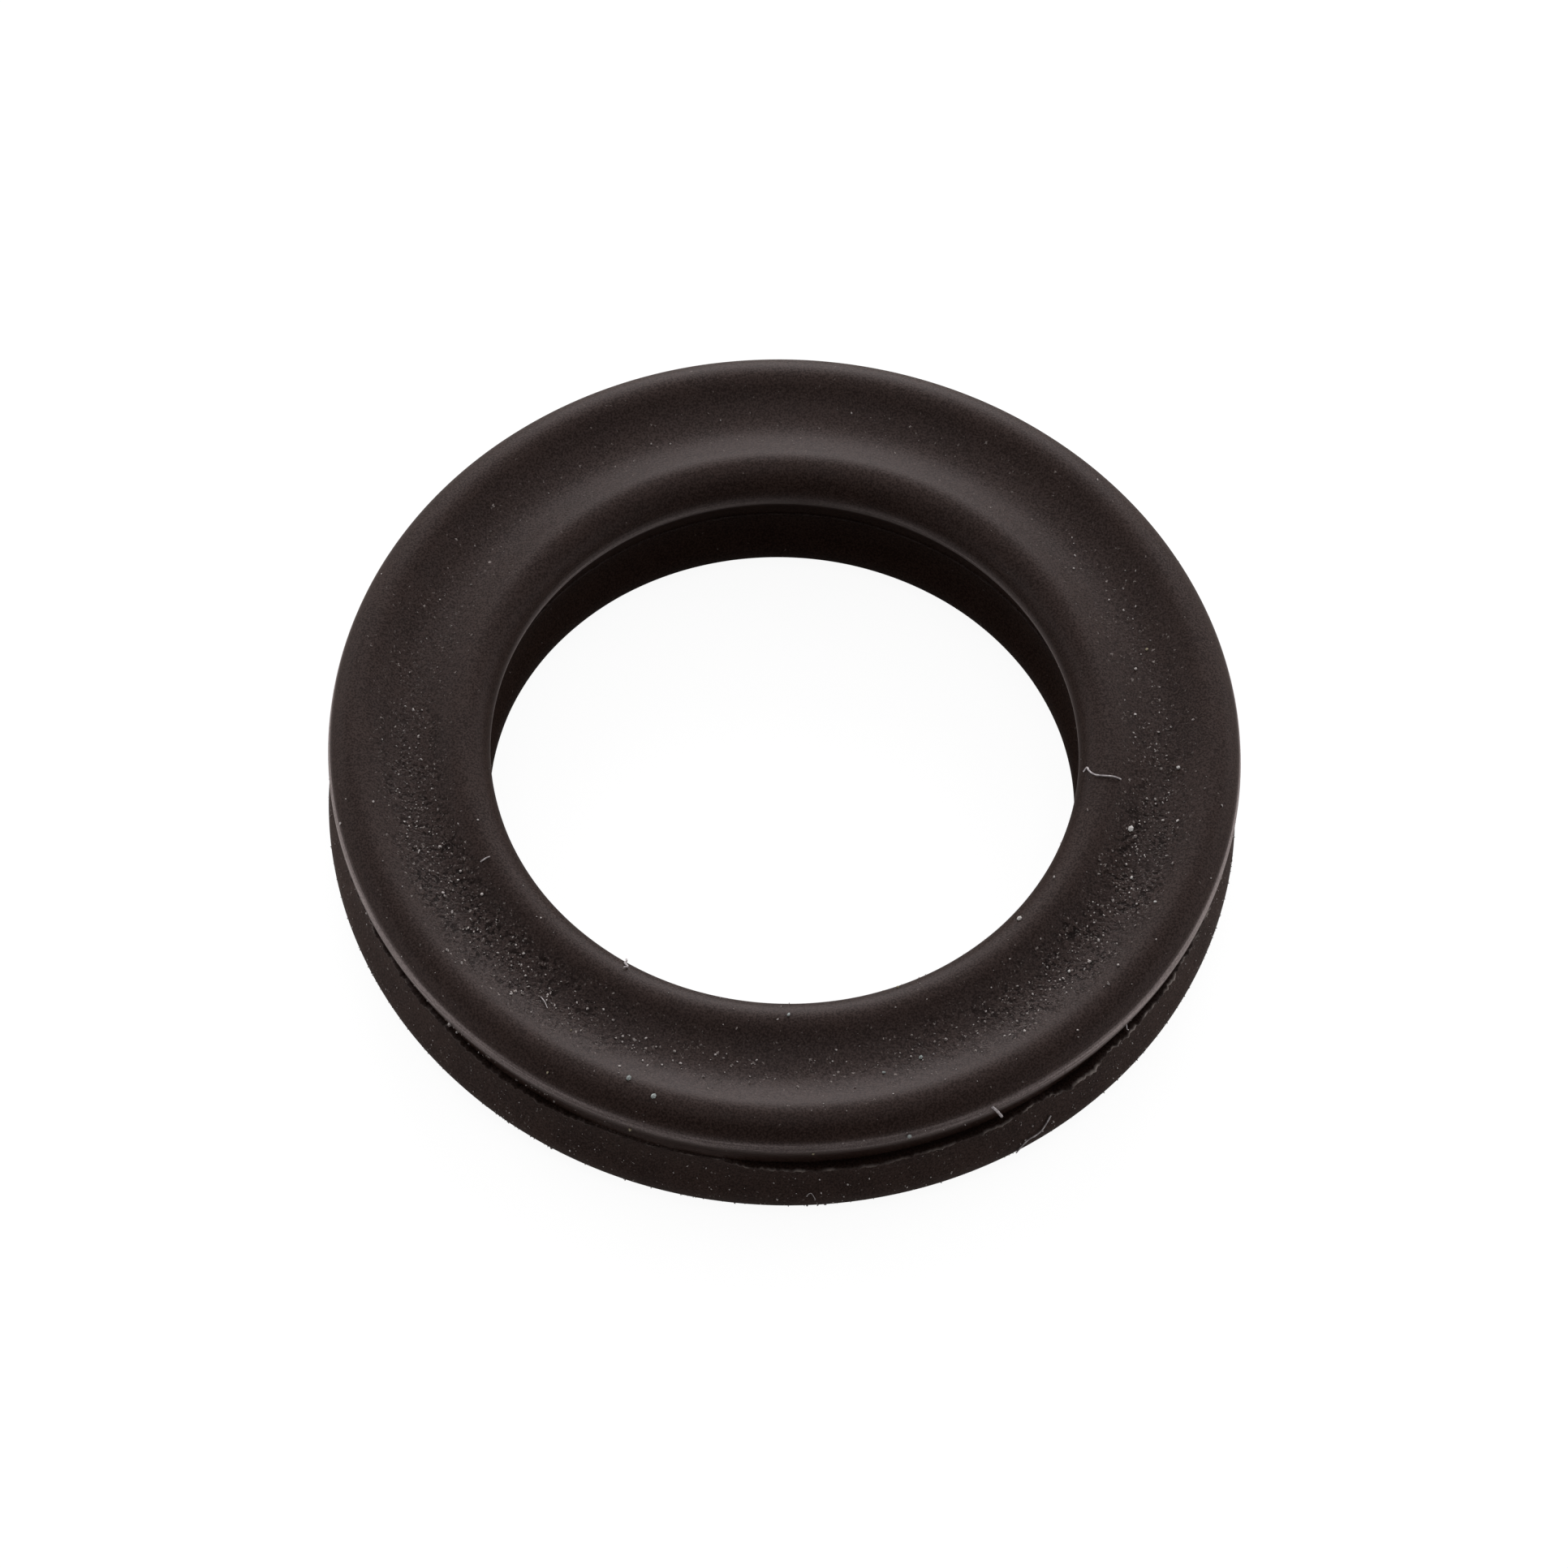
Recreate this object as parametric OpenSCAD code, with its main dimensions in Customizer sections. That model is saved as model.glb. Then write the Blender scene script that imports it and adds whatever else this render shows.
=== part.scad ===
// Ring seal with a four-lobed section, moulded in rubber as one piece.
// Lengths are in millimetres. The origin is the centre of the ring at half its height, and
// +Z is the ring's axis.

/* [Ring] */
// Inside diameter, across the crests of the inner lobes
inside_d = 6.4; // [4.5:0.05:30]
// Width of the section, from the inner crests to the outer crests
section_w = 1.78; // [1.5:0.01:2.4]
// Height of the section, from the bottom crests to the top crests
section_h = 1.78; // [1.5:0.01:2.4]

/* [Lobes] */
// Radius of each of the four lobes
lobe_r = 0.32; // [0.22:0.01:0.36]

/* [Valleys] */
// Depth of the valley in the top face and of the one in the bottom face
face_valley = 0.18; // [0.08:0.01:0.26]
// Depth of the valley round the outside
outer_valley = 0.18; // [0.08:0.01:0.26]
// Depth of the valley round the bore
bore_valley = 0.18; // [0.08:0.01:0.26]

/* [Parting flash] */
// How far the flash of the mould stands out of the floor of each side valley
flash_h = 0.1; // [0.05:0.01:0.14]
// Thickness of the flash
flash_t = 0.05; // [0.03:0.01:0.08]

/* [Hidden] */

// Facets of the full turn and of the circles in the section
$fn = 96;

// Radius from the ring's axis to the middle of the section
section_mid_r = (inside_d + section_w) / 2;
// Centre of the outer top lobe, measured from the middle of the section
lobe_x = section_w / 2 - lobe_r;
lobe_y = section_h / 2 - lobe_r;
// How far the flash is rooted in the rubber under the valley's floor
flash_root = 0.2;

// A valley is one arc that runs smoothly into the two lobes beside it.
// half_gap is half the distance between those lobes' centres. The arc's radius follows from
// the right triangle between the valley's centre line, a lobe's centre and the arc's centre.
function valley_r(half_gap, depth) =
    (half_gap ^ 2 + (lobe_r - depth) ^ 2 - lobe_r ^ 2) / (2 * depth);

// Height of the arc's centre above the line through the two lobes' centres
function valley_rise(half_gap, depth) = lobe_r - depth + valley_r(half_gap, depth);

// Point where the arc meets the lobe on its positive side, as [along, out], where out is
// measured from the line through the lobes' centres
function valley_end(half_gap, depth) =
    let (reach = valley_r(half_gap, depth) + lobe_r)
    [half_gap, 0] + lobe_r / reach * [-half_gap, valley_rise(half_gap, depth)];

// Corners of the web between the lobes: both ends of each valley's arc, in order round it
function web_corners() =
    let (
        face = valley_end(lobe_x, face_valley),
        outer = valley_end(lobe_y, outer_valley),
        bore = valley_end(lobe_y, bore_valley)
    )
    [
        [lobe_x + outer[1], outer[0]],
        [face[0], lobe_y + face[1]],
        [-face[0], lobe_y + face[1]],
        [-lobe_x - bore[1], bore[0]],
        [-lobe_x - bore[1], -bore[0]],
        [-face[0], -lobe_y - face[1]],
        [face[0], -lobe_y - face[1]],
        [lobe_x + outer[1], -outer[0]]
    ];

// The four round lobes
module lobes() {
    for (x = [-lobe_x, lobe_x], y = [-lobe_y, lobe_y])
        translate([x, y])
            circle(r = lobe_r);
}

// The circles that cut the four valleys
module valleys() {
    for (side = [-1, 1])
        translate([0, side * (lobe_y + valley_rise(lobe_x, face_valley))])
            circle(r = valley_r(lobe_x, face_valley));
    translate([lobe_x + valley_rise(lobe_y, outer_valley), 0])
        circle(r = valley_r(lobe_y, outer_valley));
    translate([-lobe_x - valley_rise(lobe_y, bore_valley), 0])
        circle(r = valley_r(lobe_y, bore_valley));
}

// Thin fin left where the halves of the mould met, with a round edge
// floor_x is the floor of its valley, measured outwards from the middle of the section.
module flash(floor_x) {
    edge_r = flash_t / 2;
    translate([floor_x - flash_root, -edge_r])
        square([flash_root + flash_h - edge_r, flash_t]);
    translate([floor_x + flash_h - edge_r, 0])
        circle(r = edge_r);
}

// The whole section, with its middle at the origin and the bore on its -X side
module section() {
    difference() {
        polygon(web_corners());
        valleys();
    }
    lobes();
    flash(section_w / 2 - outer_valley);
    mirror([1, 0])
        flash(section_w / 2 - bore_valley);
}

module seal_ring() {
    color([0.18, 0.15, 0.14])
        rotate_extrude()
            translate([section_mid_r, 0])
                section();
}

seal_ring();
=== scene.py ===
import math
from random import Random

import bpy
from mathutils import Matrix, Vector


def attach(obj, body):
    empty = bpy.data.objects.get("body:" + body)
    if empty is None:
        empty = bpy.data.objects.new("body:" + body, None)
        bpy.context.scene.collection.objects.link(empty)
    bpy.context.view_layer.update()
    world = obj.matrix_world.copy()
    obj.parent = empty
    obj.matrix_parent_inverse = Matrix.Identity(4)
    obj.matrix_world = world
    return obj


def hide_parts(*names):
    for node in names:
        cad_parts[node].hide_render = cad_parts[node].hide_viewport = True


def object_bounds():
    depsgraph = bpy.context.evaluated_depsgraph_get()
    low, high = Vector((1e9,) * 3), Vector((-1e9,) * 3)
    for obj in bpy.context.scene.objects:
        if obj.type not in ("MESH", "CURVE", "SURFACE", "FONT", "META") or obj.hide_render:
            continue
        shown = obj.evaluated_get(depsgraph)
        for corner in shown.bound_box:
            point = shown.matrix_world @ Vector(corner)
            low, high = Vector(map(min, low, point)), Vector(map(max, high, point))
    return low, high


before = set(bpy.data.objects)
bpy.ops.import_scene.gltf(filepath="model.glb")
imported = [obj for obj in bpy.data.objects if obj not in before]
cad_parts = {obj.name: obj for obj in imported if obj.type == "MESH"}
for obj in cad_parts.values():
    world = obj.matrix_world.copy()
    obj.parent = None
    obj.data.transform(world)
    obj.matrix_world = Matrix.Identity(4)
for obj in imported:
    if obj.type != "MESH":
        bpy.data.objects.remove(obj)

scene = bpy.context.scene
cad_low, cad_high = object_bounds()
MM = 0.001
MICRON = 0.000001


# ---- The rubber ---------------------------------------------------------------------------
# Brown-black nitrile rubber, matt as it comes out of a blasted mould. The floors of the two
# face valleys are coarser than the lobes, because the mould is worn there: they are pitted,
# with painted shade in the pits, and hold pale crumbs of rubber. The torn edge of the flash
# carries a painted highlight, and the rims are smoother and shinier with a pale painted highlight.

RUBBER_DARK = (0.0130, 0.0058, 0.0037, 1)
RUBBER_LIGHT = (0.0290, 0.0143, 0.0098, 1)
# Painted shade in the pits of the worn valley floors
PIT_SHADE_COLOUR = (0.0045, 0.0022, 0.0016, 1)
CRUMB_COLOUR = (0.36, 0.31, 0.29, 1)
HAZE_COLOUR = (0.42, 0.27, 0.21, 1)
# A painted highlight along the torn edge of the flash, where its tip catches the light
TORN_EDGE_HIGHLIGHT_COLOUR = (0.42, 0.36, 0.33, 1)
# A pale pinkish painted highlight along the rims of the lobes, where the rubber catches light at a grazing
# angle
RIM_HIGHLIGHT_COLOUR = (0.55, 0.46, 0.45, 1)
SHEEN_TINT = (1.0, 0.85, 0.86, 1)
SHEEN_LEVEL = 0.31
SHEEN_GRAIN = (0.66, 1.34)
ROUGHNESS = (0.46, 0.56)
RIM_SHINE_ROUGHNESS = 0.34
GRAIN_PER_MM = 48.0
MOTTLE_PER_MM = 2.2
PIT_PER_MM = 21.0
HOLLOW_PER_MM = 8.5
CLUMP_PER_MM = 4.5
FINE_CRUMB_PER_MM = 31.0
COARSE_CRUMB_PER_MM = 13.0
DUST_PER_MM = 24.0
RAGGED_PER_MM = 45.0
RAGGED_MM = 0.05
STREAK_PER_MM = 34.0
EDGE_HIGHLIGHT_BREAKS_PER_MM = 4.5


class Shader:
    """A material under construction, with short calls for nodes and links."""

    def __init__(self, name):
        self.material = bpy.data.materials.new(name)
        self.material.use_nodes = True
        self.tree = self.material.node_tree
        self.surface = self.tree.nodes["Principled BSDF"]

    def add(self, kind, settings=None, **inputs):
        """Adds a node. inputs are its sockets by name with _ for a space: a value or a link."""
        node = self.tree.nodes.new(kind)
        for key, value in (settings or {}).items():
            setattr(node, key, value)
        for key, value in inputs.items():
            self.feed(node.inputs[key.replace("_", " ")], value)
        return node

    def feed(self, socket, value):
        """Links value to the socket if it is a socket itself, and sets it otherwise."""
        if isinstance(value, bpy.types.NodeSocket):
            self.tree.links.new(value, socket)
        else:
            socket.default_value = value

    def math(self, operation, first, second=0.0):
        node = self.tree.nodes.new("ShaderNodeMath")
        node.operation = operation
        self.feed(node.inputs[0], first)
        self.feed(node.inputs[1], second)
        return node.outputs[0]

    def ramp(self, value, low, high, start=0.0, end=1.0):
        """Goes smoothly from start at low to end at high."""
        node = self.add("ShaderNodeMapRange", {"interpolation_type": "SMOOTHSTEP"}, Value=value)
        for name, number in (("From Min", low), ("From Max", high), ("To Min", start), ("To Max", end)):
            self.feed(node.inputs[name], number)
        return node.outputs["Result"]

    def mix(self, factor, first, second):
        node = self.add("ShaderNodeMix", {"data_type": "RGBA"})
        self.feed(node.inputs[0], factor)
        self.feed(node.inputs[6], first)
        self.feed(node.inputs[7], second)
        return node.outputs[2]

    def place_mm(self):
        """Object coordinates in millimetres."""
        place = self.add("ShaderNodeTexCoord").outputs["Object"]
        node = self.add("ShaderNodeVectorMath", {"operation": "SCALE"}, Vector=place)
        self.feed(node.inputs["Scale"], 1 / MM)
        return node.outputs[0]

    def stored(self, name):
        """A number that the piece's mesh carries at its points."""
        return self.add("ShaderNodeAttribute", {"attribute_name": name}).outputs["Fac"]

    def noise(self, place, per_mm, detail=2.0):
        return self.add("ShaderNodeTexNoise", Vector=place, Scale=per_mm, Detail=detail).outputs["Fac"]

    def ragged(self, place):
        """The place pushed about by noise, so that dots drawn on it come out ragged."""
        push = self.add("ShaderNodeTexNoise", Vector=place, Scale=RAGGED_PER_MM, Detail=1.0)
        node = self.add("ShaderNodeVectorMath", {"operation": "MULTIPLY_ADD"}, Vector=push.outputs["Color"])
        node.inputs[1].default_value = (RAGGED_MM,) * 3
        self.feed(node.inputs[2], place)
        return node.outputs[0]

    def streaks(self, place):
        """Noise that runs in fine lines round the ring's axis."""
        axes = self.add("ShaderNodeSeparateXYZ", Vector=place)
        radius = self.math("SQRT", self.math("ADD", self.math("POWER", axes.outputs[0], 2.0),
                                             self.math("POWER", axes.outputs[1], 2.0)))
        lines = self.add("ShaderNodeCombineXYZ", X=self.math("MULTIPLY", radius, STREAK_PER_MM),
                         Y=self.math("MULTIPLY", axes.outputs[2], STREAK_PER_MM))
        node = self.add("ShaderNodeVectorMath", {"operation": "ADD"}, Vector=lines.outputs[0])
        self.feed(node.inputs[1], place)
        return self.noise(node.outputs[0], 1.0, 2.0)

    def specks(self, place, per_mm, size, share):
        """Small dots, one in each cell that is picked: share is how many cells have one."""
        cells = self.add("ShaderNodeTexVoronoi", Vector=place, Scale=per_mm)
        picked = self.add("ShaderNodeSeparateColor", Color=cells.outputs["Color"])
        dot = self.ramp(cells.outputs["Distance"], size, size * 0.4)
        dot = self.math("MULTIPLY", dot, self.math("LESS_THAN", picked.outputs[0], share))
        return self.math("MULTIPLY", dot, self.ramp(picked.outputs[1], 0.0, 1.0, 0.35, 1.0))


def rubber_material():
    shader = Shader("ring_rubber")
    place = shader.place_mm()
    ragged = shader.ragged(place)
    worn, dusty = shader.stored("worn"), shader.stored("dusty")
    rubbed, gloss = shader.stored("rubbed"), shader.stored("gloss")
    torn, paleness = shader.stored("torn"), shader.stored("paleness")
    grain = shader.noise(place, GRAIN_PER_MM, 2.0)
    mottle = shader.noise(place, MOTTLE_PER_MM, 3.0)
    clumps = shader.ramp(shader.noise(place, CLUMP_PER_MM, 2.0), 0.38, 0.6, 0.45, 1.0)
    coarse_floor = shader.math("MULTIPLY", worn, clumps)
    pits = shader.ramp(shader.noise(place, PIT_PER_MM, 2.0), 0.54, 0.38)
    hollows = shader.ramp(shader.noise(place, HOLLOW_PER_MM, 2.0), 0.42, 0.32)
    # The pits are bumped in, and painted darker with less sheen as the shade in them
    pits_and_pit_shade = shader.math("MULTIPLY", shader.math("MAXIMUM", pits, hollows), coarse_floor)
    # Along the rims the rubber is smoother and shinier, and its colour gets a pale painted highlight
    streaked_shine_and_highlight = shader.math("MULTIPLY", rubbed, shader.ramp(shader.streaks(place), 0.34, 0.66, 0.5, 1.0))
    streaked_shine_and_highlight = shader.math("MULTIPLY", streaked_shine_and_highlight, shader.ramp(grain, 0.36, 0.62, 0.65, 1.0))

    tone = shader.math("ADD", shader.math("MULTIPLY", grain, 0.8), shader.math("MULTIPLY", mottle, 0.2))
    colour = shader.mix(shader.ramp(tone, 0.38, 0.62), RUBBER_DARK, RUBBER_LIGHT)
    colour = shader.mix(shader.math("MULTIPLY", pits_and_pit_shade, 0.9), colour, PIT_SHADE_COLOUR)
    # The pale painted highlight on the rims
    colour = shader.mix(shader.math("MULTIPLY", streaked_shine_and_highlight, 0.85), colour, RIM_HIGHLIGHT_COLOUR)
    fine = shader.specks(ragged, FINE_CRUMB_PER_MM, 0.4, shader.math("MULTIPLY", coarse_floor, 0.6))
    coarse = shader.specks(ragged, COARSE_CRUMB_PER_MM, 0.24, shader.math("MULTIPLY", coarse_floor, 0.42))
    dust = shader.specks(ragged, DUST_PER_MM, 0.3, dusty)
    crumbs = shader.math("MAXIMUM", shader.math("MULTIPLY", fine, 0.42), coarse)
    pale = shader.math("MAXIMUM", crumbs, shader.math("MULTIPLY", dust, 0.55))
    haze = shader.math("MULTIPLY", dusty, shader.ramp(mottle, 0.35, 0.65, 0.03, 0.09))
    colour = shader.mix(haze, colour, HAZE_COLOUR)
    colour = shader.mix(pale, colour, CRUMB_COLOUR)
    # The tip of the flash gets a painted highlight, broken up here and there
    ends = shader.ramp(shader.noise(place, EDGE_HIGHLIGHT_BREAKS_PER_MM, 4.0), 0.44, 0.6, 0.04, 1.0)
    torn_edge_highlight = shader.math("MULTIPLY", shader.math("MULTIPLY", shader.ramp(torn, 0.74, 0.95), ends), paleness)
    colour = shader.mix(torn_edge_highlight, colour, TORN_EDGE_HIGHLIGHT_COLOUR)
    shader.feed(shader.surface.inputs["Base Color"], colour)

    roughness = shader.ramp(grain, 0.35, 0.65, *ROUGHNESS)
    shader.feed(shader.surface.inputs["Roughness"],
                shader.ramp(streaked_shine_and_highlight, 0.0, 1.0, roughness, RIM_SHINE_ROUGHNESS))
    sheen = shader.math("MULTIPLY", shader.ramp(grain, 0.36, 0.64, *SHEEN_GRAIN), SHEEN_LEVEL)
    # Glossier valleys, and the painted shade deep in the bore
    sheen = shader.math("MULTIPLY", sheen, shader.math("ADD", gloss, 1.0))
    sheen = shader.math("MULTIPLY", sheen, shader.ramp(pits_and_pit_shade, 0.0, 1.0, 1.0, 0.4))
    sheen = shader.math("MULTIPLY", sheen, shader.ramp(streaked_shine_and_highlight, 0.0, 1.0, 1.0, 1.7))
    shader.feed(shader.surface.inputs["Specular IOR Level"], sheen)
    shader.surface.inputs["Specular Tint"].default_value = SHEEN_TINT

    height = shader.math("SUBTRACT", shader.math("MULTIPLY", grain, 0.6),
                         shader.math("MULTIPLY", pits_and_pit_shade, 1.1))
    height = shader.math("ADD", height, shader.math("MULTIPLY", crumbs, 1.3))
    bump = shader.add("ShaderNodeBump", Height=height, Strength=0.7, Distance=6 * MICRON)
    shader.feed(shader.surface.inputs["Normal"], bump.outputs[0])
    return shader.material


rubber = rubber_material()


# ---- The seal ring ------------------------------------------------------------------------
# One moulded ring. Its section has four round lobes, one at each corner, and a shallow arc
# that runs smoothly from each lobe into the next. The section is swept once round the axis.

RING_OUTER_R = (cad_high.x - cad_low.x) / 2
SECTION = cad_high.z - cad_low.z
SECTION_MID_R = RING_OUTER_R - SECTION / 2
LOBE_R = 0.32 * MM
VALLEY_DEPTH = 0.18 * MM
VALLEY_FLOOR = SECTION / 2 - VALLEY_DEPTH
LOBE_STEPS = 22
VALLEY_STEPS = 12
RING_STEPS = 660
UNEVENNESS = 5 * MICRON
# How coarse the face valleys are, by the angle round the ring in degrees from +X
WORN = (
    (0, 0.5), (20, 0.3), (45, 0.15), (70, 0.12), (95, 0.08), (120, 0.1), (140, 0.15), (165, 0.3),
    (190, 0.75), (205, 0.95), (215, 1.0), (228, 1.0), (240, 0.75), (252, 0.4), (270, 0.35),
    (284, 0.3), (298, 0.55), (312, 0.9), (325, 1.0), (340, 1.0), (350, 0.8), (360, 0.5),
)
WORN_HALF_WIDTH = 0.52 * MM
# How strong the shine and the painted highlight on the rims of the upper lobes are, round the ring in the
# same way
RIM_SHINE_AND_HIGHLIGHT = (
    (0, 1.15), (30, 0.65), (60, 0.5), (95, 0.45), (125, 0.6), (150, 0.8), (180, 1.05), (200, 1.15),
    (215, 1.25), (228, 0.9), (245, 0.55), (272, 0.46), (295, 0.52), (312, 0.8), (325, 1.25),
    (340, 1.4), (360, 1.15),
)
# The same for the rims on the bore side, where the painted highlight is duller and broader
BORE_RIM_SHINE_AND_HIGHLIGHT = ((0, 0.8), (45, 0.7), (90, 0.3), (135, 0.85), (180, 0.8), (270, 0.1), (360, 0.8))
# For each side: the middle of the band of shine and painted highlight above the parting plane and half its
# height
OUTER_BAND = (0.61 * MM, 0.1 * MM)
BORE_BAND = (0.41 * MM, 0.26 * MM)
# How much glossier the face valleys are than the lobes, round the ring in the same way
VALLEY_GLOSS = (
    (0, 0.0), (45, 0.2), (90, 0.35), (135, 0.2), (180, 0.0), (225, 0.25), (250, 0.4), (270, 0.5),
    (290, 0.42), (315, 0.3), (340, 0.03), (360, 0.0),
)
GLOSSY_HALF_WIDTH = 0.48 * MM
# Painted shade deep in the bore: how far the sheen is turned down there
BORE_SHADE_DIMMING = -0.75
SMOOTHING_PASSES = 3
DUST_EVERYWHERE = 0.025
DUST_BELOW = 0.2
# How the dust below gathers, round the ring in the same way
DUSTY = ((0, 1.0), (90, 0.6), (180, 1.5), (215, 1.5), (245, 1.0), (285, 0.8), (330, 1.0), (360, 1.0))


def arc(centre, radius, start, end, steps):
    """Points on an arc from start up to but not including end, in radians."""
    angles = [start + (end - start) * i / steps for i in range(steps)]
    return [centre + radius * Vector((math.cos(a), math.sin(a))) for a in angles]


def section_outline():
    """The section's outline round its own middle, counterclockwise, with x outwards.

    The lobes run into the valleys softly, as rubber fills a mould.
    """
    lobe = SECTION / 2 - LOBE_R
    shoulder = LOBE_R - VALLEY_DEPTH
    valley_r = (lobe ** 2 + shoulder ** 2 - LOBE_R ** 2) / (2 * VALLEY_DEPTH)
    rise = shoulder + valley_r
    tilt = math.atan2(lobe, rise)
    quarter = arc(Vector((lobe, lobe)), LOBE_R, -tilt, math.pi / 2 + tilt, LOBE_STEPS)
    quarter += arc(Vector((0, lobe + rise)), valley_r, -math.pi / 2 + tilt, -math.pi / 2 - tilt, VALLEY_STEPS)
    points = [Matrix.Rotation(math.pi / 2 * turn, 2) @ point for turn in range(4) for point in quarter]
    for _ in range(SMOOTHING_PASSES):
        points = [(points[i - 1] + point * 2 + points[(i + 1) % len(points)]) / 4
                  for i, point in enumerate(points)]
    return points


def drawn_curve(name, points, closed):
    """A curve object through the points, for a tree to sweep or to follow."""
    data = bpy.data.curves.new(name, "CURVE")
    data.dimensions = "3D"
    spline = data.splines.new("POLY")
    spline.points.add(len(points) - 1)
    for corner, point in zip(spline.points, points):
        corner.co = (*point.to_3d(), 1)
    spline.use_cyclic_u = closed
    curve = bpy.data.objects.new(name, data)
    scene.collection.objects.link(curve)
    return curve


class Tree:
    """A Geometry Nodes tree under construction. inputs are (name, socket type) pairs."""

    def __init__(self, name, inputs):
        self.group = bpy.data.node_groups.new(name, "GeometryNodeTree")
        for socket, kind in (*inputs, ("Material", "Material")):
            self.group.interface.new_socket(socket, in_out="INPUT", socket_type="NodeSocket" + kind)
        self.group.interface.new_socket("Geometry", in_out="OUTPUT", socket_type="NodeSocketGeometry")
        self.given = self.group.nodes.new("NodeGroupInput").outputs

    def add(self, kind, settings=None, **inputs):
        """Adds a node. inputs are its sockets by name with _ for a space: a value or a link."""
        node = self.group.nodes.new(kind)
        for key, value in (settings or {}).items():
            setattr(node, key, value)
        for key, value in inputs.items():
            self.feed(node.inputs[key.replace("_", " ")], value)
        return node

    def feed(self, socket, value):
        if isinstance(value, bpy.types.NodeSocket):
            self.group.links.new(value, socket)
        else:
            socket.default_value = value

    def math(self, operation, first, second=0.0):
        node = self.group.nodes.new("ShaderNodeMath")
        node.operation = operation
        self.feed(node.inputs[0], first)
        self.feed(node.inputs[1], second)
        return node.outputs[0]

    def vector(self, operation, first, second=None, scale=None):
        node = self.group.nodes.new("ShaderNodeVectorMath")
        node.operation = operation
        self.feed(node.inputs[0], first)
        if second is not None:
            self.feed(node.inputs[1], second)
        if scale is not None:
            self.feed(node.inputs["Scale"], scale)
        return node.outputs["Value"] if operation == "LENGTH" else node.outputs[0]

    def ramp(self, value, low, high, start=0.0, end=1.0):
        """Goes smoothly from start at low to end at high."""
        node = self.add("ShaderNodeMapRange", {"interpolation_type": "SMOOTHSTEP"}, Value=value)
        for name, number in (("From Min", low), ("From Max", high), ("To Min", start), ("To Max", end)):
            self.feed(node.inputs[name], number)
        return node.outputs["Result"]

    def noise(self, place, scale, detail=1.0):
        """Noise about zero, from about -0.5 to 0.5."""
        node = self.add("ShaderNodeTexNoise", Vector=place, Scale=scale, Detail=detail)
        return self.math("SUBTRACT", node.outputs["Fac"], 0.5)

    def round_the_ring(self, place):
        """The direction from the axis, the distance from it and the share of a turn from +X."""
        flat = self.vector("MULTIPLY", place, (1, 1, 0))
        way = self.vector("NORMALIZE", flat)
        axes = self.add("ShaderNodeSeparateXYZ", Vector=way)
        turn = self.math("DIVIDE", self.math("ARCTAN2", axes.outputs[1], axes.outputs[0]), 2 * math.pi)
        return way, self.vector("LENGTH", flat), self.math("FRACT", self.math("ADD", turn, 1.0))

    def by_angle(self, turn, table):
        """Reads a table of (degrees, value) at a share of a turn."""
        node = self.add("ShaderNodeFloatCurve", Value=turn)
        node.mapping.clip_max_y = 2.0
        curve = node.mapping.curves[0]
        for _ in table[2:]:
            curve.points.new(0.5, 0.5)
        for point, (degrees, value) in zip(curve.points, table):
            point.location = (degrees / 360, value)
            point.handle_type = "VECTOR"
        node.mapping.update()
        return node.outputs[0]

    def store(self, geometry, name, value):
        return self.add("GeometryNodeStoreNamedAttribute", Geometry=geometry,
                        Name=name, Value=value).outputs[0]

    def finish(self, geometry, smooth=True):
        """Ends the tree: plain geometry, shaded, in the Material input."""
        shaded = self.add("GeometryNodeSetShadeSmooth", Geometry=geometry, Shade_Smooth=smooth)
        real = self.add("GeometryNodeRealizeInstances", Geometry=shaded.outputs[0])
        painted = self.add("GeometryNodeSetMaterial", Geometry=real.outputs[0],
                           Material=self.given["Material"])
        self.feed(self.group.nodes.new("NodeGroupOutput").inputs[0], painted.outputs[0])
        return self


def grown(name, tree, **values):
    """Runs a tree once and keeps its result as a plain mesh object that rides on the ring."""
    sockets = {s.name: s.identifier for s in tree.group.interface.items_tree if s.in_out == "INPUT"}
    carrier = bpy.data.objects.new(name + "_carrier", bpy.data.meshes.new(name + "_carrier"))
    scene.collection.objects.link(carrier)
    modifier = carrier.modifiers.new(name, "NODES")
    modifier.node_group = tree.group
    for key, value in values.items():
        modifier[sockets[key.replace("_", " ")]] = value
    graph = bpy.context.evaluated_depsgraph_get()
    mesh = bpy.data.meshes.new_from_object(carrier.evaluated_get(graph), depsgraph=graph)
    carrier.modifiers.remove(modifier)
    bpy.data.objects.remove(carrier)
    for value in values.values():
        if isinstance(value, bpy.types.Object):
            bpy.data.objects.remove(value)
    mesh.name = name
    piece = bpy.data.objects.new(name, mesh)
    scene.collection.objects.link(piece)
    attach(piece, "root")
    return piece


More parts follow.
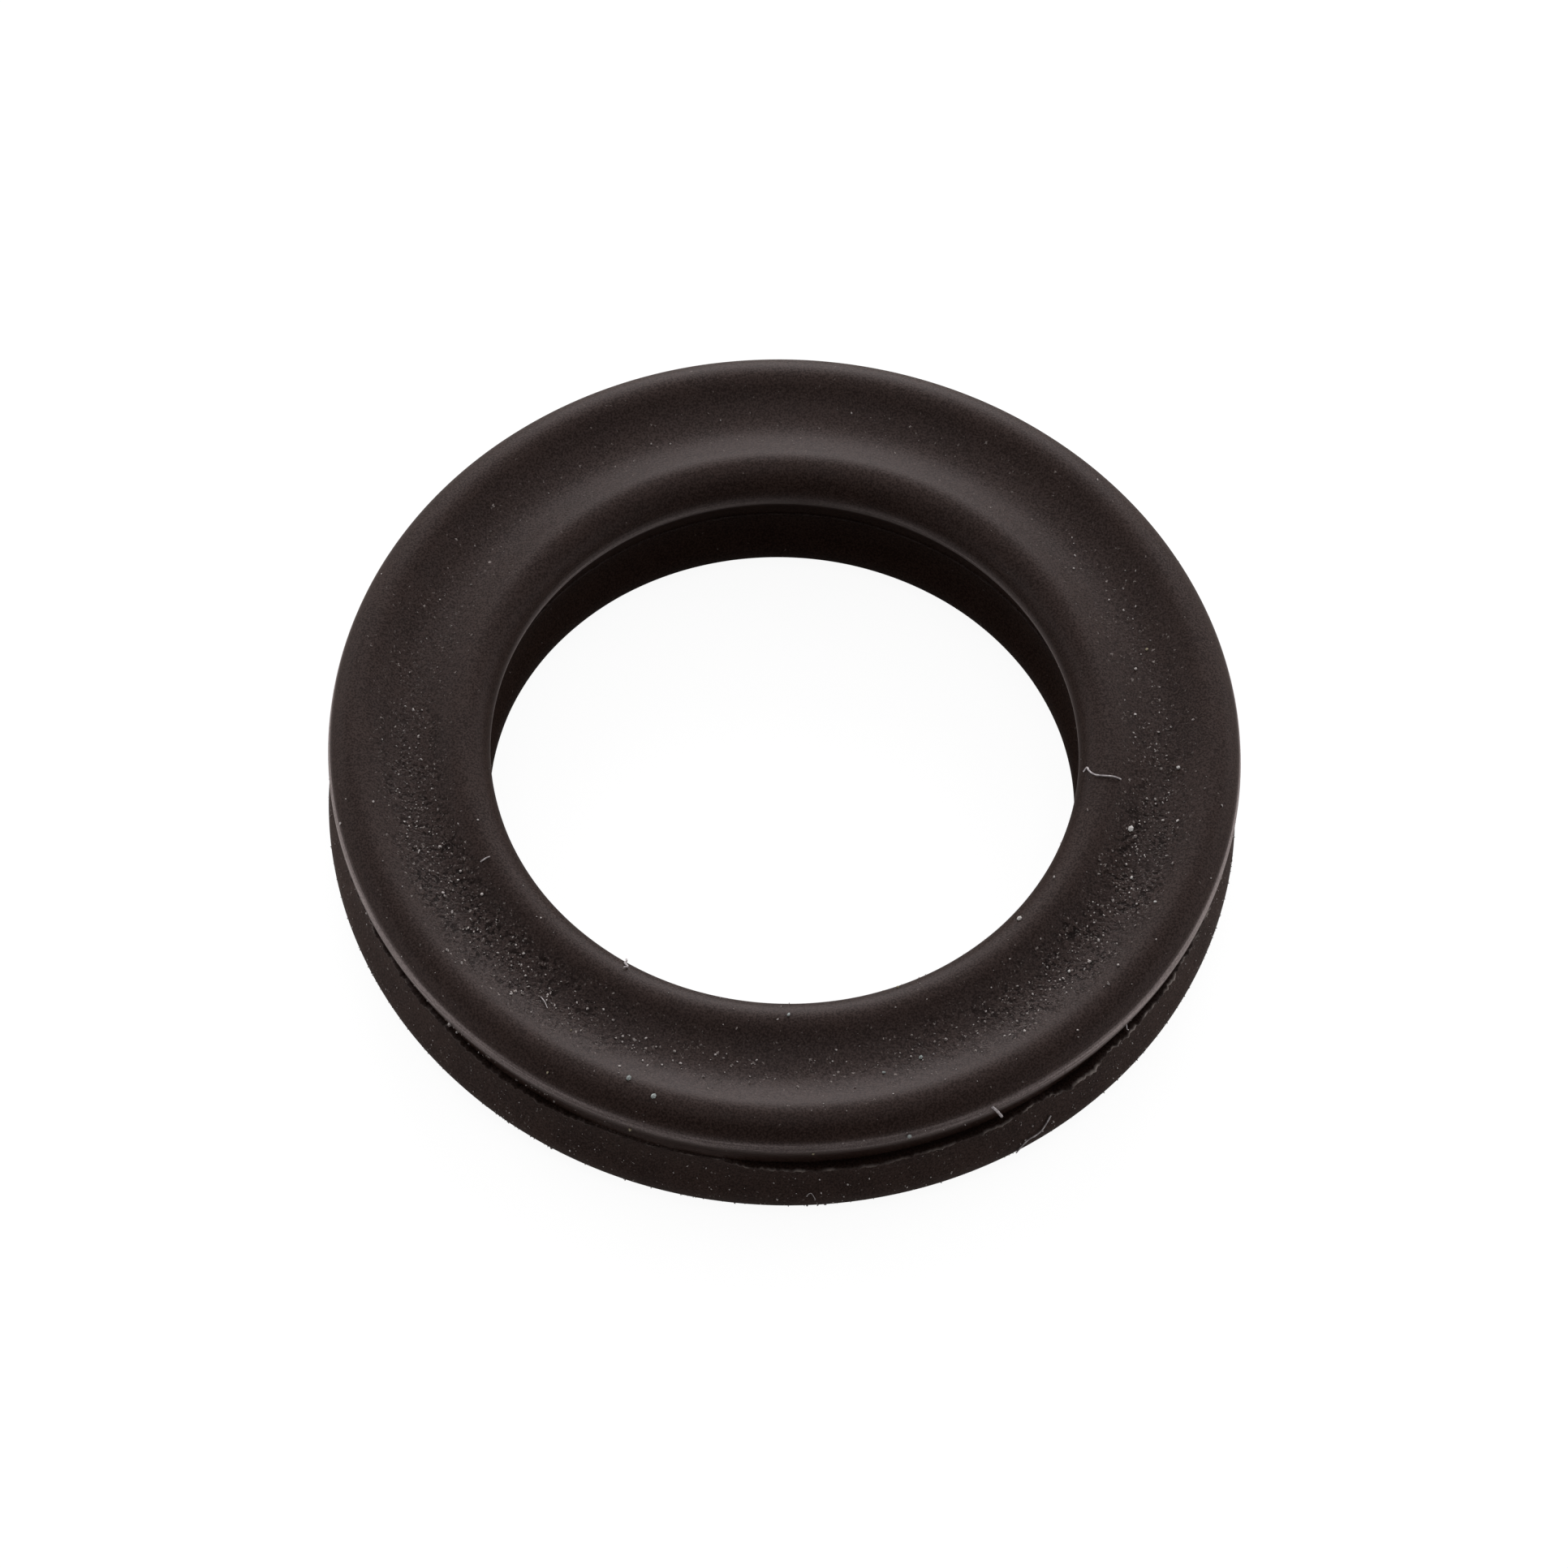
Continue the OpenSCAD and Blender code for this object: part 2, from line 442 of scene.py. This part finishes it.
def ring_tree():
    """Sweeps an outline round the axis, makes the skin a little uneven and marks its zones."""
    tree = Tree("ring sweep", [("Outline", "Object"), ("Middle radius", "Float"), ("Steps round", "Int"),
                               ("Unevenness", "Float")])
    circle = tree.add("GeometryNodeCurvePrimitiveCircle", Radius=tree.given["Middle radius"],
                      Resolution=tree.given["Steps round"])
    outline = tree.add("GeometryNodeObjectInfo", Object=tree.given["Outline"])
    skin = tree.add("GeometryNodeCurveToMesh", Curve=circle.outputs[0],
                    Profile_Curve=outline.outputs["Geometry"]).outputs[0]
    place = tree.add("GeometryNodeInputPosition").outputs[0]
    _, radius, turn = tree.round_the_ring(place)
    height = tree.add("ShaderNodeSeparateXYZ", Vector=place).outputs[2]
    off_middle = tree.math("ABSOLUTE", tree.math("SUBTRACT", radius, tree.given["Middle radius"]))
    across = tree.ramp(off_middle, WORN_HALF_WIDTH, WORN_HALF_WIDTH * 0.4)
    on_face = tree.ramp(tree.math("ABSOLUTE", height), 0.4 * MM, 0.6 * MM)
    worn = tree.math("MULTIPLY", tree.math("MULTIPLY", across, on_face), tree.by_angle(turn, WORN))
    below = tree.math("MULTIPLY", tree.ramp(height, -0.05 * MM, -0.2 * MM), tree.by_angle(turn, DUSTY))
    below = tree.math("ADD", tree.math("MULTIPLY", below, DUST_BELOW), DUST_EVERYWHERE)
    dusty = tree.math("MULTIPLY", below,
                      tree.ramp(radius, SECTION_MID_R - 0.5 * MM, SECTION_MID_R, 0.15, 1.0))
    gloss = tree.ramp(off_middle, GLOSSY_HALF_WIDTH, GLOSSY_HALF_WIDTH * 0.7)
    gloss = tree.math("MULTIPLY", tree.math("MULTIPLY", gloss, on_face), tree.by_angle(turn, VALLEY_GLOSS))
    # Deep in the bore the sheen is turned down as painted shade
    painted_bore_shade = tree.ramp(radius, SECTION_MID_R - 0.45 * MM, SECTION_MID_R - 0.6 * MM, 0.0, BORE_SHADE_DIMMING)
    gloss = tree.math("ADD", gloss, tree.math("MULTIPLY", painted_bore_shade, tree.ramp(height, 0.34 * MM, 0.2 * MM)))
    # The shine and the painted highlight along the rims of the lobes
    on_rim = tree.ramp(off_middle, SECTION / 2 - 0.09 * MM, SECTION / 2 - 0.03 * MM)
    in_bore_half = tree.math("LESS_THAN", radius, SECTION_MID_R)
    bands = []
    for table, (middle, half) in ((RIM_SHINE_AND_HIGHLIGHT, OUTER_BAND), (BORE_RIM_SHINE_AND_HIGHLIGHT, BORE_BAND)):
        off_band = tree.math("ABSOLUTE", tree.math("SUBTRACT", height, middle))
        bands.append(tree.math("MULTIPLY", tree.ramp(off_band, half, half * 0.35),
                               tree.by_angle(turn, table)))
    outer, bore = bands
    band = tree.ramp(in_bore_half, 0.0, 1.0, outer, bore)
    rubbed = tree.math("MULTIPLY", on_rim, band)
    # The skin is only ever pressed in, so the ring keeps its outer size.
    lift = tree.math("MULTIPLY", tree.noise(place, 1 / (1.6 * MM), 2.0), tree.given["Unevenness"])
    sink = tree.math("SUBTRACT", lift, tree.math("MULTIPLY", tree.given["Unevenness"], 0.5))
    outwards = tree.add("GeometryNodeInputNormal").outputs[0]
    for mark, value in (("worn", worn), ("dusty", dusty), ("rubbed", rubbed), ("gloss", gloss)):
        skin = tree.store(skin, mark, value)
    skin = tree.add("GeometryNodeSetPosition", Geometry=skin,
                    Offset=tree.vector("SCALE", outwards, scale=sink))
    return tree.finish(skin.outputs[0])


outline = section_outline()
ring = grown("seal_ring_skin", ring_tree(), Outline=drawn_curve("ring_outline", outline, True),
             Middle_radius=SECTION_MID_R, Steps_round=RING_STEPS, Unevenness=UNEVENNESS, Material=rubber)
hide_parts("seal_ring")


# ---- The parting flash --------------------------------------------------------------------
# Where the two halves of the mould met, a thin film of rubber was left round the middle of
# the outer valley and of the bore's valley. It was torn off by hand, so its edge is ragged.

FLASH_STAND_OUT = 0.105 * MM
FLASH_ROOT = 0.06 * MM
FLASH_HALF_THICKNESS = 0.022 * MM
FLASH_EDGE_R = 0.014 * MM
FLASH_EDGE_STEPS = 6
FLASH_STEPS = 2600
FLASH_WAVE = 0.05 * MM
# How much of the film is left, by the angle round the ring in degrees from +X
OUTER_FILM = (
    (0, 0.95), (40, 0.8), (75, 1.0), (120, 0.85), (170, 1.0), (205, 0.75), (224, 0.55), (234, 0.75),
    (243, 0.65), (249, 0.3), (264, 0.08), (267, 0.75), (271, 0.95), (277, 1.2), (284, 1.3),
    (290, 1.1), (302, 1.12), (306, 0.66), (308, 0.8), (311, 1.4), (315, 1.42), (318, 0.9),
    (325, 1.05), (334, 0.95), (345, 1.05), (360, 0.95),
)
# How strong the painted highlight along the torn edge is, round the ring in the same way
EDGE_HIGHLIGHT = (
    (0, 0.45), (60, 0.3), (180, 0.35), (205, 0.25), (225, 0.1), (255, 0.12), (266, 0.5), (276, 0.45),
    (288, 0.25), (300, 0.35), (306, 0.75), (320, 0.85), (345, 0.7), (360, 0.45),
)
BORE_FILM = ((0, 0.2), (60, 0.05), (140, 0.05), (200, 0.5), (290, 0.5), (360, 0.2))


def film_outline(way):
    """A thin fin from x = 0 with a round edge, rooted below zero. way is 1 outwards, -1 inwards."""
    edge_x = FLASH_STAND_OUT - FLASH_EDGE_R
    fin = [Vector((-FLASH_ROOT, -FLASH_HALF_THICKNESS))]
    fin += arc(Vector((edge_x, 0)), FLASH_EDGE_R, -math.pi / 2, math.pi / 2, FLASH_EDGE_STEPS)
    fin += [Vector((edge_x, FLASH_EDGE_R)), Vector((-FLASH_ROOT, FLASH_HALF_THICKNESS))]
    return [Vector((way * point.x, point.y)) for point in fin][::way]


def film_tree(film_left):
    """Sweeps the film's outline, then tears its edge back and waves it up and down."""
    tree = Tree("torn film", [("Outline", "Object"), ("Floor radius", "Float"), ("Stand out", "Float"),
                              ("Steps round", "Int"), ("Nibble", "Float"), ("Wave", "Float"),
                              ("Paleness", "Float")])
    circle = tree.add("GeometryNodeCurvePrimitiveCircle", Radius=tree.given["Floor radius"],
                      Resolution=tree.given["Steps round"])
    outline = tree.add("GeometryNodeObjectInfo", Object=tree.given["Outline"])
    film = tree.add("GeometryNodeCurveToMesh", Curve=circle.outputs[0],
                    Profile_Curve=outline.outputs["Geometry"]).outputs[0]
    place = tree.add("GeometryNodeInputPosition").outputs[0]
    round_way, radius, turn = tree.round_the_ring(place)
    nibble = tree.math("ADD", tree.noise(round_way, 26.0, 2.0),
                       tree.math("MULTIPLY", tree.noise(round_way, 90.0, 4.0), 1.1))
    nibble = tree.math("MULTIPLY", nibble, tree.given["Nibble"])
    share = tree.math("MAXIMUM", tree.math("ADD", tree.by_angle(turn, film_left), nibble), 0.05)
    out = tree.math("SUBTRACT", radius, tree.given["Floor radius"])
    along = tree.math("DIVIDE", out, tree.given["Stand out"])
    along = tree.math("MAXIMUM", tree.math("MINIMUM", along, 1.0), 0.0)
    torn = tree.math("MULTIPLY", tree.math("MULTIPLY", along, out), tree.math("SUBTRACT", share, 1.0))
    wave = tree.math("MULTIPLY", tree.noise(round_way, 9.0, 3.0), tree.given["Wave"])
    rise = tree.add("ShaderNodeCombineXYZ", Z=tree.math("MULTIPLY", wave, along))
    push = tree.vector("ADD", tree.vector("SCALE", round_way, scale=torn), rise.outputs[0])
    # How strong the painted highlight along the torn edge is here
    pale = tree.math("MULTIPLY", tree.by_angle(turn, EDGE_HIGHLIGHT), tree.given["Paleness"])
    film = tree.store(tree.store(film, "torn", along), "paleness", pale)
    film = tree.add("GeometryNodeSetPosition", Geometry=film, Offset=push)
    return tree.finish(film.outputs[0])


for name, way, film_left, nibble, paleness in (("outer_flash", 1, OUTER_FILM, 0.75, 1.0),
                                               ("bore_flash", -1, BORE_FILM, 0.3, 0.1)):
    film = grown(name, film_tree(film_left), Outline=drawn_curve(name + "_outline", film_outline(way), True),
                 Floor_radius=SECTION_MID_R + way * VALLEY_FLOOR, Stand_out=way * FLASH_STAND_OUT,
                 Steps_round=FLASH_STEPS, Nibble=nibble, Wave=FLASH_WAVE, Paleness=paleness,
                 Material=rubber)
    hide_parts("seal_ring")


# ---- Crumbs and dust ----------------------------------------------------------------------
# Crumbs of rubber and grains of dust that sit on the ring, most of them in the coarse floors
# of the valleys and on the lower lobe. A few are large enough to see one by one.

GRAIN_SEED = 29
WORN_CRUMBS = 740
LOWER_DUST = 900
STRAY_DUST = 240
GROOVE_CRUMBS = 110
CLEAR_CRUMBS = 85
# How sharply the crumbs keep to the coarse stretches, and the share of them on the upper face
WORN_CROWDING = 1.6
UPPER_FACE_SHARE = 0.8
# For each kind: the smallest, the largest and the usual size across in microns
WORN_CRUMB_MICRONS = (10, 34, 13)
LOWER_DUST_MICRONS = (8, 25, 9)
STRAY_DUST_MICRONS = (8, 22, 10)
GROOVE_CRUMB_MICRONS = (12, 42, 16)
CLEAR_CRUMB_MICRONS = (22, 44, 28)
# How far from the middle of the valley the crumbs lie, and between which heights the others do
WORN_CRUMB_SPREAD_MM = 0.15
LOWER_DUST_HEIGHTS_MM = (-0.85, -0.1)
GROOVE_CRUMB_HEIGHTS_MM = (-0.1, 0.25)
# Where these two gather round the ring: the middle of the spread and its width in degrees
STRAY_DUST_SPREAD = (270, 62)
GROOVE_CRUMB_SPREAD = (219, 11)
# Where the clear crumbs lie round the section: the middle of the spread and its width
CLEAR_CRUMB_SPREAD = (92, 17)
# Each line: degrees round the ring, degrees round the section (0 faces out and 90 faces up)
# and size across in microns
WHITE_GRAINS = (
    (347, 105, 80), (321, 130, 65), (359, 75, 60), (320, 85, 50), (339, 90, 45), (336, 65, 40),
)
PALE_GRAINS = (
    (226, 30, 60), (346, 100, 50), (17, 100, 50), (344, 95, 45), (217, 85, 35), (226, 105, 35),
    (238, 100, 35), (240, 100, 35), (249, 65, 35), (253, 95, 35), (259, 105, 35), (268, 100, 35),
    (296, 95, 35), (318, 85, 35), (332, 130, 35), (339, 115, 35), (344, 70, 35), (350, 70, 35),
    (355, 60, 35), (207, 30, 35), (353, 50, 30), (195, 40, 30), (201, 25, 30), (4, 110, 30),
    (245, -30, 25), (251, -15, 25), (291, -10, 25), (294, -30, 25),
)
BLUISH_GRAINS = (
    (251, 60, 70), (255, 55, 70), (288, 35, 70), (293, 85, 70), (273, 125, 50), (287, 80, 45),
)
BROWN_GRAINS = (
    (253, 30, 45), (20, 85, 40), (294, 135, 40), (240, 75, 35), (241, 45, 35), (276, 30, 35),
)


def seat(degrees, radius, height):
    """The nearest place on the skin, given in metres, and the way out of the skin there."""
    target = Vector((radius - SECTION_MID_R, height))
    nearest = min(range(len(outline)), key=lambda i: (outline[i] - target).length_squared)
    along = outline[(nearest + 1) % len(outline)] - outline[nearest - 1]
    reach = along.length / 4
    along.normalize()
    slide = max(-reach, min(reach, (target - outline[nearest]).dot(along)))
    spot = outline[nearest] + slide * along
    turn = Matrix.Rotation(math.radians(degrees), 3, "Z")
    place = turn @ Vector((SECTION_MID_R + spot.x, 0, spot.y))
    return place, turn @ Vector((along.y, 0, -along.x))


def on_section(section_degrees):
    """The radius and height where the skin faces the given way from the middle of the section."""
    way = Vector((math.cos(math.radians(section_degrees)), math.sin(math.radians(section_degrees))))
    corner = max(outline, key=lambda point: point.normalized().dot(way))
    return SECTION_MID_R + way.x * corner.length, way.y * corner.length


def single_grains(rows):
    """Reads a list of single grains as places and sizes in metres."""
    return [(degrees, *on_section(section), microns * MICRON) for degrees, section, microns in rows]


def seats(name, grains):
    """Loose points on the skin for grains of (degrees, radius and height in metres, size)."""
    placed = [(seat(degrees, radius, height), size) for degrees, radius, height, size in grains]
    mesh = bpy.data.meshes.new(name)
    mesh.from_pydata([place + out * size * 0.12 for (place, out), size in placed], [], [])
    mesh.attributes.new("size", "FLOAT", "POINT").data.foreach_set("value", [size for _, size in placed])
    holder = bpy.data.objects.new(name, mesh)
    scene.collection.objects.link(holder)
    return holder


def worn_at(degrees):
    """Reads the table of coarse stretches."""
    for (low, low_value), (high, high_value) in zip(WORN, WORN[1:]):
        if degrees <= high:
            return low_value + (high_value - low_value) * (degrees - low) / (high - low)


def scattered_grains():
    """Crumbs for the worn valleys, dust for the lower lobe and a few strays all over."""
    draw = Random(GRAIN_SEED)
    grains = []
    while len(grains) < WORN_CRUMBS:
        degrees = draw.uniform(0, 360)
        if draw.random() < worn_at(degrees) ** WORN_CROWDING:
            face = VALLEY_FLOOR if draw.random() < UPPER_FACE_SHARE else -VALLEY_FLOOR
            size = draw.triangular(*WORN_CRUMB_MICRONS) * MICRON
            grains.append((degrees, SECTION_MID_R + draw.gauss(0, WORN_CRUMB_SPREAD_MM) * MM, face, size))
    for _ in range(LOWER_DUST):
        size = draw.triangular(*LOWER_DUST_MICRONS) * MICRON
        grains.append((draw.uniform(0, 360), RING_OUTER_R, draw.uniform(*LOWER_DUST_HEIGHTS_MM) * MM, size))
    for _ in range(STRAY_DUST):
        around = draw.uniform(0, 2 * math.pi)
        size = draw.triangular(*STRAY_DUST_MICRONS) * MICRON
        grains.append((draw.gauss(*STRAY_DUST_SPREAD), SECTION_MID_R + SECTION * math.cos(around),
                       SECTION * math.sin(around), size))
    for _ in range(GROOVE_CRUMBS):
        size = draw.triangular(*GROOVE_CRUMB_MICRONS) * MICRON
        grains.append((draw.gauss(*GROOVE_CRUMB_SPREAD), SECTION_MID_R + VALLEY_FLOOR,
                       draw.uniform(*GROOVE_CRUMB_HEIGHTS_MM) * MM, size))
    wanted = len(grains) + CLEAR_CRUMBS
    while len(grains) < wanted:
        degrees = draw.uniform(0, 360)
        if draw.random() < worn_at(degrees) ** WORN_CROWDING:
            radius, height = on_section(draw.gauss(*CLEAR_CRUMB_SPREAD))
            grains.append((degrees, radius, height, draw.triangular(*CLEAR_CRUMB_MICRONS) * MICRON))
    return grains


def grain_tree():
    """Puts a rough lump on each point, sized by the point's own number."""
    tree = Tree("grains", [("Seats", "Object"), ("Roughness", "Float"), ("Seed", "Int")])
    points = tree.add("GeometryNodeObjectInfo", Object=tree.given["Seats"])
    lump = tree.add("GeometryNodeMeshIcoSphere", Radius=0.5, Subdivisions=1)
    size = tree.add("GeometryNodeInputNamedAttribute", {"data_type": "FLOAT"}, Name="size").outputs[0]
    stretch = tree.add("FunctionNodeRandomValue", {"data_type": "FLOAT_VECTOR"}, Seed=tree.given["Seed"])
    stretch.inputs[0].default_value = (0.6, 0.5, 0.5)
    stretch.inputs[1].default_value = (1.7, 1.1, 0.9)
    spin = tree.add("FunctionNodeRandomValue", {"data_type": "FLOAT_VECTOR"}, Seed=tree.given["Seed"])
    spin.inputs[1].default_value = (2 * math.pi, 2 * math.pi, 2 * math.pi)
    lumps = tree.add("GeometryNodeInstanceOnPoints", Points=points.outputs["Geometry"],
                     Instance=lump.outputs[0], Rotation=spin.outputs[0],
                     Scale=tree.vector("SCALE", stretch.outputs[0], scale=size))
    real = tree.add("GeometryNodeRealizeInstances", Geometry=lumps.outputs[0])
    place = tree.add("GeometryNodeInputPosition").outputs[0]
    outwards = tree.add("GeometryNodeInputNormal").outputs[0]
    lift = tree.math("MULTIPLY", tree.noise(place, 1 / (9 * MICRON), 1.0), tree.given["Roughness"])
    rough = tree.add("GeometryNodeSetPosition", Geometry=real.outputs[0],
                     Offset=tree.vector("SCALE", outwards, scale=lift))
    return tree.finish(rough.outputs[0], smooth=False)


def grain_material(name, dark, light):
    """Dull dust between two colours, which change from grain to grain."""
    shader = Shader(name)
    tone = shader.noise(shader.place_mm(), 19.0, 1.0)
    shader.feed(shader.surface.inputs["Base Color"], shader.mix(shader.ramp(tone, 0.35, 0.65), dark, light))
    shader.surface.inputs["Roughness"].default_value = 0.85
    shader.surface.inputs["Specular IOR Level"].default_value = 0.2
    return shader.material


pale_dust = grain_material("pale_dust", (0.24, 0.20, 0.19, 1), (0.80, 0.73, 0.71, 1))
white_dust = grain_material("white_dust", (0.72, 0.68, 0.66, 1), (0.90, 0.87, 0.85, 1))
bluish_dust = grain_material("bluish_dust", (0.36, 0.39, 0.38, 1), (0.52, 0.56, 0.55, 1))
brown_dust = grain_material("brown_dust", (0.24, 0.20, 0.14, 1), (0.52, 0.46, 0.32, 1))
for name, grains, material in (
    ("scattered_dust", scattered_grains(), pale_dust),
    ("white_grains", single_grains(WHITE_GRAINS), white_dust),
    ("pale_grains", single_grains(PALE_GRAINS), pale_dust),
    ("bluish_grains", single_grains(BLUISH_GRAINS), bluish_dust),
    ("brown_grains", single_grains(BROWN_GRAINS), brown_dust),
):
    grown(name, grain_tree(), Seats=seats(name + "_seats", grains), Roughness=5 * MICRON, Seed=GRAIN_SEED,
          Material=material)


# ---- Fibres -------------------------------------------------------------------------------
# Short lint fibres caught on the rubber, as cut ends of cloth leave them. Each one lies on
# the skin or lifts off it a little at an end.

FIBRE_SIDES = 6
FIBRE_STEP = 12 * MICRON
# Each fibre: thickness in microns, then its points as degrees round the ring, degrees round
# the section and lift off the skin in microns
FIBRES = (
    ("fibre_bore_side", 19, ((355, 116, 0), (355, 120, 10), (355, 128, 10), (356, 132, 20),
                             (357, 134, 10), (356.5, 137, 0))),
    ("fibre_lower_lobe", 16, ((308.5, -24, 10), (307, -28, 10), (306, -29, 10), (304.5, -30, 10),
                              (303, -36, 10))),
    ("fibre_rim", 30, ((299, 37, 0), (299.5, 34, 20), (300, 30, 60))),
    ("fibre_right_rim", 11, ((320, 33, 10), (320, 30, 30), (320.5, 27, 50))),
    ("fibre_bore_edge", 20, ((240.5, 138, 20), (241, 135, 20), (241, 133, 10), (242, 131, 10),
                             (241.5, 129, 10))),
    ("fibre_left", 16, ((208.5, 117, 0), (208.5, 119, 10), (208.5, 121, 0))),
    ("fibre_left_crest", 11, ((233, 86, 0), (234, 84, 10), (235, 81, 0))),
    ("fibre_lower_curl", 8, ((275.5, -28, 0), (276, -26, 20), (276.5, -29, 20), (276.5, -31, 0))),
)


def fibre_tree():
    """Rounds a path off and gives it a thread's thickness."""
    tree = Tree("fibre", [("Path", "Object"), ("Thickness", "Float"), ("Step", "Float"), ("Sides", "Int")])
    path = tree.add("GeometryNodeObjectInfo", Object=tree.given["Path"])
    smooth = tree.add("GeometryNodeCurveSplineType", {"spline_type": "CATMULL_ROM"},
                      Curve=path.outputs["Geometry"])
    even = tree.add("GeometryNodeResampleCurve", {"mode": "LENGTH"}, Curve=smooth.outputs[0],
                    Length=tree.given["Step"])
    place = tree.add("GeometryNodeInputPosition").outputs[0]
    girth = tree.math("ADD", tree.math("MULTIPLY", tree.noise(place, 1 / (40 * MICRON)), 0.5), 0.5)
    sides = tree.add("GeometryNodeCurvePrimitiveCircle", Radius=1.0, Resolution=tree.given["Sides"])
    thread = tree.add("GeometryNodeCurveToMesh", Curve=even.outputs[0], Profile_Curve=sides.outputs[0],
                      Scale=tree.math("MULTIPLY", girth, tree.given["Thickness"]), Fill_Caps=True)
    return tree.finish(thread.outputs[0])


lint = grain_material("lint", (0.46, 0.41, 0.42, 1), (0.78, 0.72, 0.73, 1))
for name, thickness, path in FIBRES:
    points = []
    for degrees, section, lift in path:
        place, out = seat(degrees, *on_section(section))
        points.append(place + out * (lift + thickness / 2) * MICRON)
    grown(name, fibre_tree(), Path=drawn_curve(name + "_path", points, False), Thickness=thickness * MICRON,
          Step=FIBRE_STEP, Sides=FIBRE_SIDES, Material=lint)


# ---- The camera, the floor and the lamps --------------------------------------------------
# A long lens looks down on the ring, which lies on white card. Soft boxes stand low behind it
# and fade round to its sides, as a lit white wall does, and a weaker one hangs above.

CAMERA_DISTANCE = 141.9 * MM
CAMERA_ELEVATION = math.radians(59.75)
CAMERA_ROLL = math.radians(2.83)
CAMERA_SIDE = 0.010 * MM
CAMERA_LIFT = -0.077 * MM
LENS_PER_FRAME = 15989 / 1932
SENSOR_MM = 36.0

camera_data = bpy.data.cameras.new("camera")
camera_data.sensor_width = SENSOR_MM
camera_data.lens = SENSOR_MM * LENS_PER_FRAME
camera_data.clip_start = 0.01
camera_data.clip_end = 5.0
camera = bpy.data.objects.new("camera", camera_data)
right = Vector((1, 0, 0))
up = Vector((0, math.sin(CAMERA_ELEVATION), math.cos(CAMERA_ELEVATION)))
back = right.cross(up)
turned_right = math.cos(CAMERA_ROLL) * right + math.sin(CAMERA_ROLL) * up
turned_up = math.cos(CAMERA_ROLL) * up - math.sin(CAMERA_ROLL) * right
camera_place = CAMERA_SIDE * right + CAMERA_LIFT * up + CAMERA_DISTANCE * back
camera.matrix_world = (Matrix.Translation(camera_place)
                       @ Matrix((turned_right, turned_up, back)).transposed().to_4x4())
scene.collection.objects.link(camera)
scene.camera = camera

FLOOR_SIZE = 0.6
FLOOR_COLOUR = (0.5, 0.5, 0.5, 1)
FLOOR_COLOUR_SEEN = (0.2, 0.2, 0.2, 1)
FLOOR_COLOUR_MIRRORED = (0.88, 0.80, 0.77, 1)
FLOOR_GLOW_SEEN = 0.93


def floor_material():
    """White card. The lamps light it, and it glows to the camera so that it prints white."""
    shader = Shader("white_card")
    rays = shader.add("ShaderNodeLightPath")
    seen = rays.outputs["Is Camera Ray"]
    mirrored = shader.math("MAXIMUM", rays.outputs["Is Glossy Ray"], rays.outputs["Is Transmission Ray"])
    colour = shader.mix(mirrored, FLOOR_COLOUR, FLOOR_COLOUR_MIRRORED)
    shader.feed(shader.surface.inputs["Base Color"], shader.mix(seen, colour, FLOOR_COLOUR_SEEN))
    shader.surface.inputs["Roughness"].default_value = 0.9
    shader.surface.inputs["Specular IOR Level"].default_value = 0.0
    shader.surface.inputs["Emission Color"].default_value = (1, 1, 1, 1)
    shader.feed(shader.surface.inputs["Emission Strength"], shader.math("MULTIPLY", seen, FLOOR_GLOW_SEEN))
    return shader.material


floor_mesh = bpy.data.meshes.new("floor")
half_floor = FLOOR_SIZE / 2
floor_mesh.from_pydata(
    [(x * half_floor, y * half_floor, cad_low.z) for x, y in ((-1, -1), (1, -1), (1, 1), (-1, 1))],
    [], [(0, 1, 2, 3)])
floor_mesh.materials.append(floor_material())
floor = bpy.data.objects.new("floor", floor_mesh)
scene.collection.objects.link(floor)

LAMP_DISTANCE = 0.4
# Each lamp: degrees clockwise from straight behind, degrees up, width and height in metres,
# and how bright its face is
MIDDLE_LAMPS = (
    ("rear_low", 0, 10, 0.30, 0.16, 4.2), ("rear_mid", 0, 32, 0.30, 0.16, 2.8),
    ("rear_high", 0, 58, 0.30, 0.18, 0.3), ("top", 0, 90, 0.24, 0.24, 0.9),
)
# The same for the lamps that stand in pairs, one to the left and one to the right
PAIRED_LAMPS = (
    ("rear_low", 55, 15, 0.26, 0.20, 1.4), ("rear_mid", 60, 45, 0.26, 0.20, 0.6),
    ("low", 105, 12, 0.26, 0.18, 1.3), ("mid", 120, 45, 0.24, 0.20, 0.2),
)
LAMPS = list(MIDDLE_LAMPS)
for name, around, *rest in PAIRED_LAMPS:
    LAMPS += [("left_" + name, -around, *rest), ("right_" + name, around, *rest)]
ROOM_LEVEL = 0.12

for name, around, rise, width, depth, radiance in LAMPS:
    data = bpy.data.lights.new(name, "AREA")
    data.shape = "RECTANGLE"
    data.size, data.size_y = width, depth
    data.energy = radiance * math.pi * width * depth
    lamp = bpy.data.objects.new(name, data)
    around, rise = math.radians(around), math.radians(rise)
    away = Vector((math.sin(around) * math.cos(rise), math.cos(around) * math.cos(rise), math.sin(rise)))
    lamp.location = away * LAMP_DISTANCE
    lamp.rotation_mode = "QUATERNION"
    lamp.rotation_quaternion = away.to_track_quat("Z", "Y")
    lamp.visible_camera = False
    scene.collection.objects.link(lamp)

world = bpy.data.worlds.new("room")
world.use_nodes = True
scene.world = world
room = world.node_tree
background = room.nodes["Background"]
background.inputs["Color"].default_value = (1, 1, 1, 1)
rays = room.nodes.new("ShaderNodeLightPath")
level = room.nodes.new("ShaderNodeMapRange")
level.inputs["To Min"].default_value = ROOM_LEVEL
level.inputs["To Max"].default_value = 1.0
room.links.new(rays.outputs["Is Camera Ray"], level.inputs["Value"])
room.links.new(level.outputs["Result"], background.inputs["Strength"])

scene.view_settings.view_transform = "Standard"
